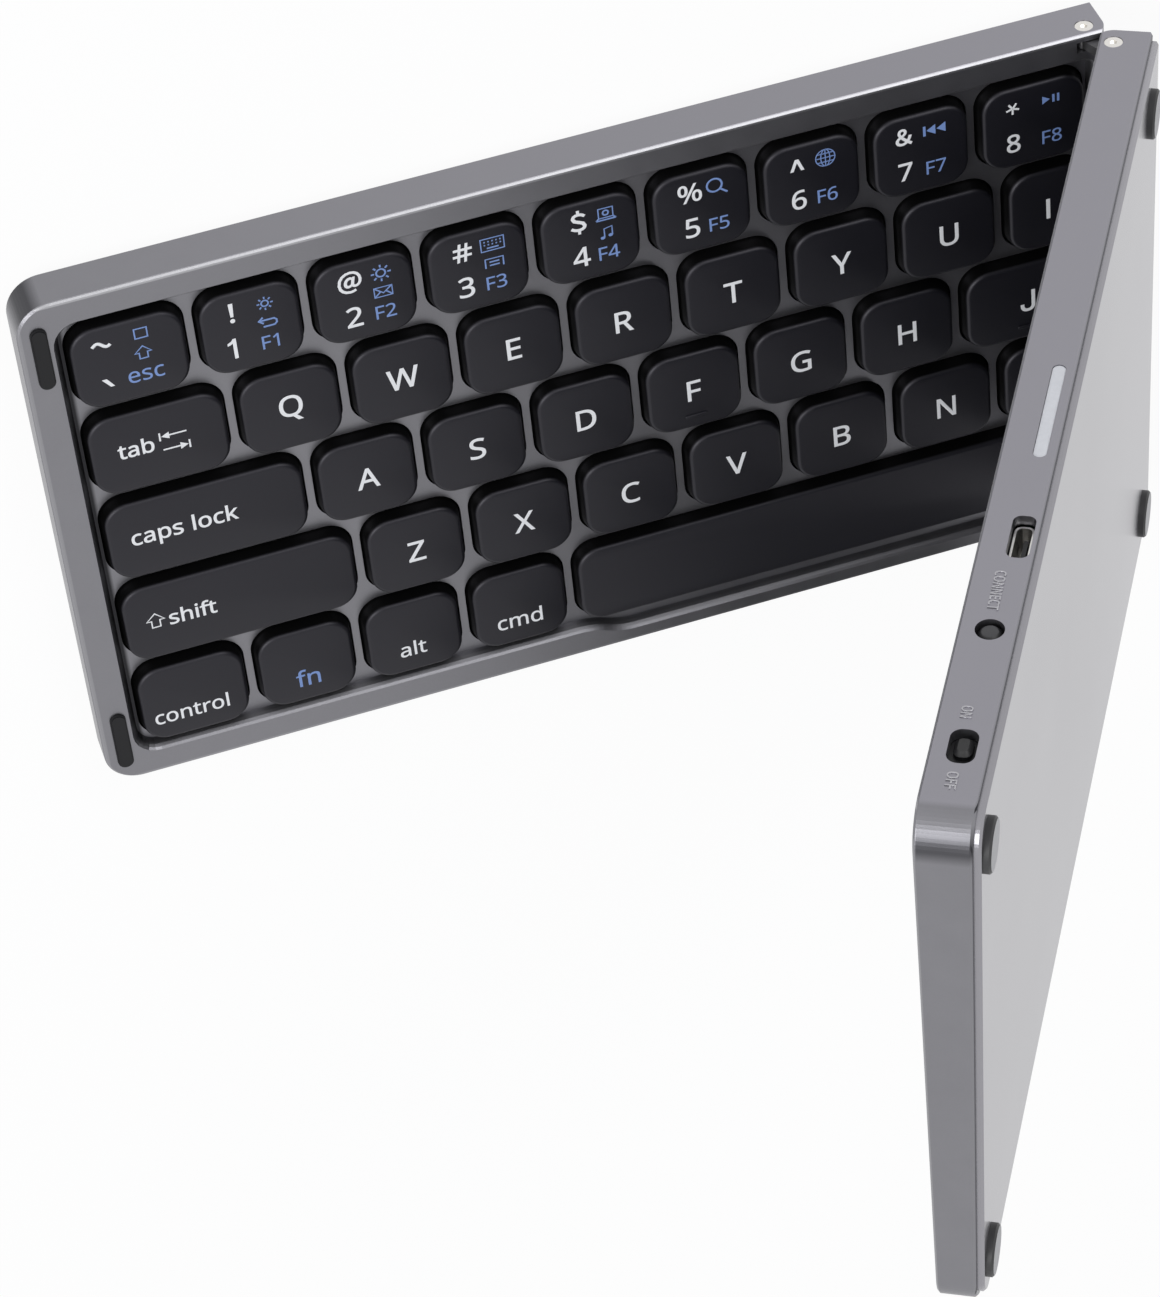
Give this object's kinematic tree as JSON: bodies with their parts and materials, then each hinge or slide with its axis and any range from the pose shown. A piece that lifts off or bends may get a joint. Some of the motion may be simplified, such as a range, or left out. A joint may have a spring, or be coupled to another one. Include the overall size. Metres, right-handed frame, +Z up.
{
  "type": "folding wireless keyboard",
  "caption": "Slim folding keyboard: keyed halves with sunk wells and thumb scoops, one side carrying a touchpad, joined by a linked friction hinge and shown half folded on its feet.",
  "frame": {"origin": "centre of the bounding box, at the level of the desk under the left half's feet", "axes": "+X along the standing half towards the hinge, +Y from the front (space bar) edge to the rear edge, +Z up"},
  "size_m": [0.1712, 0.0966, 0.1559],
  "materials": {
    "case": "satin anodised",
    "cover": "fine satin",
    "circuit_board": "solder mask",
    "dome_rubber": "matt",
    "screw": "nickel plated",
    "foot_rubber": "matt",
    "bumper_rubber": "matt",
    "magnet": "nickel plated",
    "hinge_steel": "satin",
    "link_steel": "satin dark",
    "flex": "polyimide film",
    "touchpad": "satin",
    "battery_foil": "foil",
    "socket_steel": "satin",
    "socket_plastic": "matt",
    "window": "frosted clear",
    "light": "clear",
    "button": "matt",
    "switch_body": "satin",
    "key": "fine matt"
  },
  "bodies": {
    "left_half": {"left_case": "case", "left_bottom_cover": "cover", "left_switch_board": "circuit_board", "left_dome_sheet": "dome_rubber", "left_board_screws": "screw", "left_feet": "foot_rubber", "left_bumpers": "bumper_rubber", "left_magnets": "magnet", "left_hinge_pins": "hinge_steel"},
    "hinge_links": {"rear_hinge_link": "link_steel", "front_hinge_link": "link_steel", "hinge_flex_cable": "flex"},
    "right_half": {"right_case": "case", "right_bottom_cover": "cover", "right_switch_board": "circuit_board", "right_dome_sheet": "dome_rubber", "right_board_screws": "screw", "right_feet": "foot_rubber", "right_bumpers": "bumper_rubber", "right_magnets": "magnet", "right_hinge_pins": "hinge_steel", "touchpad_plate": "touchpad", "touchpad_board": "circuit_board", "battery": "battery_foil", "main_board": "circuit_board", "main_board_screws": "screw", "usb_receptacle": "socket_steel", "usb_tongue": "socket_plastic", "light_window": "window", "status_lights": "light", "connect_switch": "switch_body", "power_switch": "switch_body"},
    "left_escape_key": {"left_escape_key": "key"},
    "left_number_keys": {"left_number_keys": "key"},
    "left_tab_key": {"left_tab_key": "key"},
    "left_upper_letter_keys": {"left_upper_letter_keys": "key"},
    "left_caps_lock_key": {"left_caps_lock_key": "key"},
    "left_home_letter_keys": {"left_home_letter_keys": "key"},
    "left_shift_key": {"left_shift_key": "key"},
    "left_lower_letter_keys": {"left_lower_letter_keys": "key"},
    "left_modifier_keys": {"left_modifier_keys": "key"},
    "left_space_key": {"left_space_key": "key"},
    "right_number_keys": {"right_number_keys": "key"},
    "right_backspace_key": {"right_backspace_key": "key"},
    "right_upper_letter_keys": {"right_upper_letter_keys": "key"},
    "right_backslash_key": {"right_backslash_key": "key"},
    "right_home_letter_keys": {"right_home_letter_keys": "key"},
    "right_return_key": {"right_return_key": "key"},
    "right_lower_letter_keys": {"right_lower_letter_keys": "key"},
    "right_shift_key": {"right_shift_key": "key"},
    "right_space_key": {"right_space_key": "key"},
    "right_alt_key": {"right_alt_key": "key"},
    "right_arrow_keys": {"right_arrow_keys": "key"},
    "connect_button": {"connect_button": "button"},
    "power_knob": {"power_knob": "button"}
  },
  "joints": [
    {"name": "link_fold", "type": "hinge", "parent": "left_half", "child": "hinge_links", "pos_m": [0.07687, 0.00167, 0.00637], "axis": [0, -0.9997, -0.0242], "range_deg": [-66, 24]},
    {"name": "lid_fold", "type": "hinge", "parent": "hinge_links", "child": "right_half", "pos_m": [0.07931, 0.00153, 0.01185], "axis": [0, -0.9997, -0.0242], "range_deg": [-54, 36]},
    {"name": "left_escape_key_press", "type": "slide", "parent": "left_half", "child": "left_escape_key", "axis": [0, 0.0242, -0.9997], "range_m": [0, 0.0012], "stiffness_N_per_m": 300, "springref_m": -0.001},
    {"name": "left_number_keys_press", "type": "slide", "parent": "left_half", "child": "left_number_keys", "axis": [0, 0.0242, -0.9997], "range_m": [0, 0.0012], "stiffness_N_per_m": 300, "springref_m": -0.001},
    {"name": "left_tab_key_press", "type": "slide", "parent": "left_half", "child": "left_tab_key", "axis": [0, 0.0242, -0.9997], "range_m": [0, 0.0012], "stiffness_N_per_m": 300, "springref_m": -0.001},
    {"name": "left_upper_letter_keys_press", "type": "slide", "parent": "left_half", "child": "left_upper_letter_keys", "axis": [0, 0.0242, -0.9997], "range_m": [0, 0.0012], "stiffness_N_per_m": 300, "springref_m": -0.001},
    {"name": "left_caps_lock_key_press", "type": "slide", "parent": "left_half", "child": "left_caps_lock_key", "axis": [0, 0.0242, -0.9997], "range_m": [0, 0.0012], "stiffness_N_per_m": 300, "springref_m": -0.001},
    {"name": "left_home_letter_keys_press", "type": "slide", "parent": "left_half", "child": "left_home_letter_keys", "axis": [0, 0.0242, -0.9997], "range_m": [0, 0.0012], "stiffness_N_per_m": 300, "springref_m": -0.001},
    {"name": "left_shift_key_press", "type": "slide", "parent": "left_half", "child": "left_shift_key", "axis": [0, 0.0242, -0.9997], "range_m": [0, 0.0012], "stiffness_N_per_m": 300, "springref_m": -0.001},
    {"name": "left_lower_letter_keys_press", "type": "slide", "parent": "left_half", "child": "left_lower_letter_keys", "axis": [0, 0.0242, -0.9997], "range_m": [0, 0.0012], "stiffness_N_per_m": 300, "springref_m": -0.001},
    {"name": "left_modifier_keys_press", "type": "slide", "parent": "left_half", "child": "left_modifier_keys", "axis": [0, 0.0242, -0.9997], "range_m": [0, 0.0012], "stiffness_N_per_m": 300, "springref_m": -0.001},
    {"name": "left_space_key_press", "type": "slide", "parent": "left_half", "child": "left_space_key", "axis": [0, 0.0242, -0.9997], "range_m": [0, 0.0012], "stiffness_N_per_m": 300, "springref_m": -0.001},
    {"name": "right_number_keys_press", "type": "slide", "parent": "right_half", "child": "right_number_keys", "axis": [0.866, -0.0121, 0.4999], "range_m": [0, 0.0012], "stiffness_N_per_m": 300, "springref_m": -0.001},
    {"name": "right_backspace_key_press", "type": "slide", "parent": "right_half", "child": "right_backspace_key", "axis": [0.866, -0.0121, 0.4999], "range_m": [0, 0.0012], "stiffness_N_per_m": 300, "springref_m": -0.001},
    {"name": "right_upper_letter_keys_press", "type": "slide", "parent": "right_half", "child": "right_upper_letter_keys", "axis": [0.866, -0.0121, 0.4999], "range_m": [0, 0.0012], "stiffness_N_per_m": 300, "springref_m": -0.001},
    {"name": "right_backslash_key_press", "type": "slide", "parent": "right_half", "child": "right_backslash_key", "axis": [0.866, -0.0121, 0.4999], "range_m": [0, 0.0012], "stiffness_N_per_m": 300, "springref_m": -0.001},
    {"name": "right_home_letter_keys_press", "type": "slide", "parent": "right_half", "child": "right_home_letter_keys", "axis": [0.866, -0.0121, 0.4999], "range_m": [0, 0.0012], "stiffness_N_per_m": 300, "springref_m": -0.001},
    {"name": "right_return_key_press", "type": "slide", "parent": "right_half", "child": "right_return_key", "axis": [0.866, -0.0121, 0.4999], "range_m": [0, 0.0012], "stiffness_N_per_m": 300, "springref_m": -0.001},
    {"name": "right_lower_letter_keys_press", "type": "slide", "parent": "right_half", "child": "right_lower_letter_keys", "axis": [0.866, -0.0121, 0.4999], "range_m": [0, 0.0012], "stiffness_N_per_m": 300, "springref_m": -0.001},
    {"name": "right_shift_key_press", "type": "slide", "parent": "right_half", "child": "right_shift_key", "axis": [0.866, -0.0121, 0.4999], "range_m": [0, 0.0012], "stiffness_N_per_m": 300, "springref_m": -0.001},
    {"name": "right_space_key_press", "type": "slide", "parent": "right_half", "child": "right_space_key", "axis": [0.866, -0.0121, 0.4999], "range_m": [0, 0.0012], "stiffness_N_per_m": 300, "springref_m": -0.001},
    {"name": "right_alt_key_press", "type": "slide", "parent": "right_half", "child": "right_alt_key", "axis": [0.866, -0.0121, 0.4999], "range_m": [0, 0.0012], "stiffness_N_per_m": 300, "springref_m": -0.001},
    {"name": "right_arrow_keys_press", "type": "slide", "parent": "right_half", "child": "right_arrow_keys", "axis": [0.866, -0.0121, 0.4999], "range_m": [0, 0.0012], "stiffness_N_per_m": 300, "springref_m": -0.001},
    {"name": "connect_press", "type": "slide", "parent": "right_half", "child": "connect_button", "axis": [0, -0.9997, -0.0242], "range_m": [0, 0.0005], "stiffness_N_per_m": 400, "springref_m": -0.0005},
    {"name": "power_slide", "type": "slide", "parent": "right_half", "child": "power_knob", "axis": [-0.5, -0.0209, 0.8658], "range_m": [0, 0.0015]}
  ]
}
